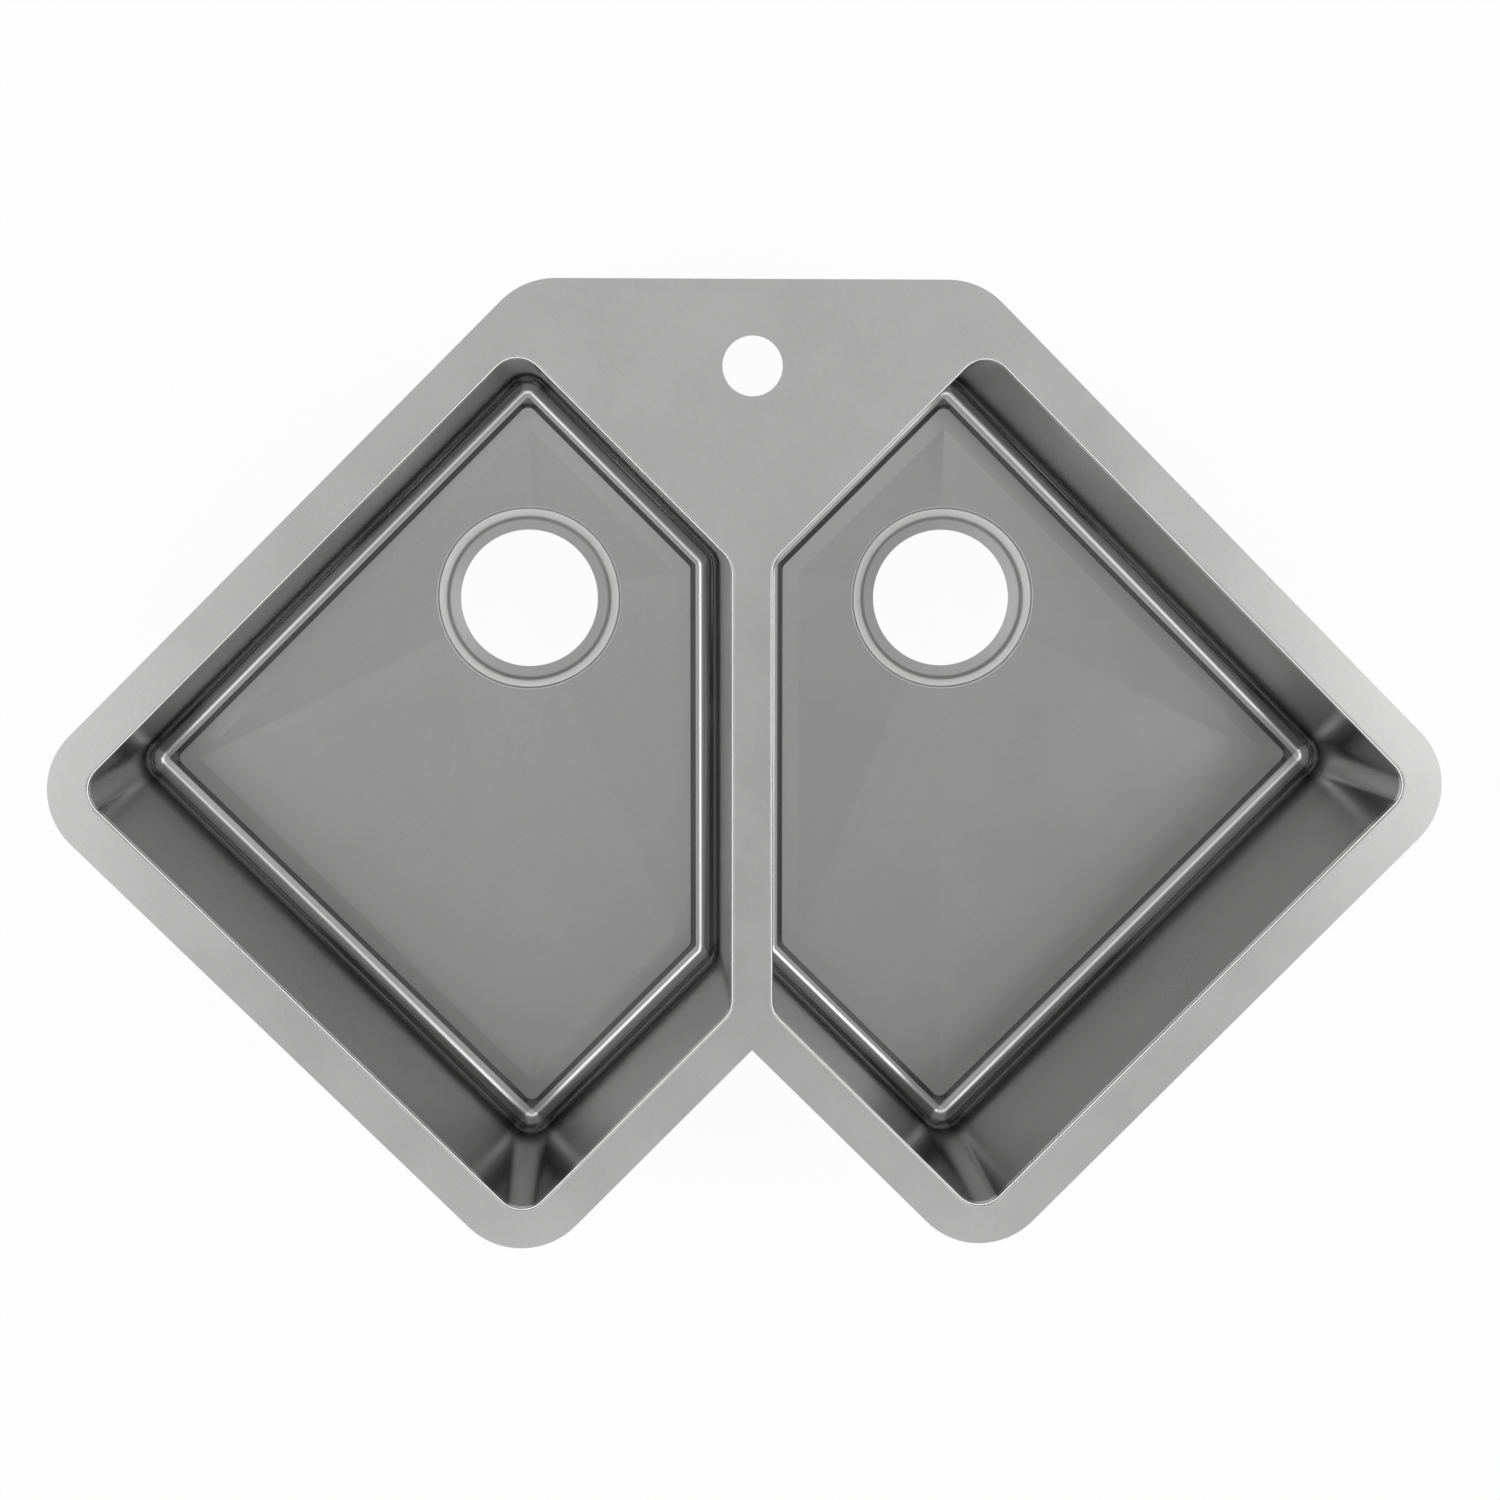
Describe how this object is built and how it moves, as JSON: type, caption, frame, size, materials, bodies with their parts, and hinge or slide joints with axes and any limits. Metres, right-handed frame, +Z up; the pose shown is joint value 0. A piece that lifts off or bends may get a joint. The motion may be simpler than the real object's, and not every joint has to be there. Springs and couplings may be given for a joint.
{
  "type": "corner kitchen sink",
  "caption": "Double-bowl stainless-steel corner kitchen sink with a flat flange, one tap hole and a waste hole in each bowl.",
  "frame": {"origin": "centre of the bridge between the two bowls, on the deck's top face", "axes": "+Z up out of the bowls, +Y to the back edge behind the tap hole, +X to the right-hand bowl"},
  "size_m": [0.8196, 0.5695, 0.2302],
  "materials": {
    "deck_steel": "brushed along one diagonal",
    "bowl_steel": "satin polished inside, undercoated outside",
    "stiffener_steel": "zinc plated, dull",
    "pad_rubber": "matt, fine texture"
  },
  "bodies": {
    "root": {"deck": "deck_steel", "left_bowl": "bowl_steel", "right_bowl": "bowl_steel", "tap_stiffener": "stiffener_steel", "left_back_outer_pad": "pad_rubber", "left_back_inner_pad": "pad_rubber", "left_front_inner_pad": "pad_rubber", "left_front_outer_pad": "pad_rubber", "left_floor_pad": "pad_rubber", "right_back_outer_pad": "pad_rubber", "right_back_inner_pad": "pad_rubber", "right_front_inner_pad": "pad_rubber", "right_front_outer_pad": "pad_rubber", "right_floor_pad": "pad_rubber"}
  },
  "joints": []
}
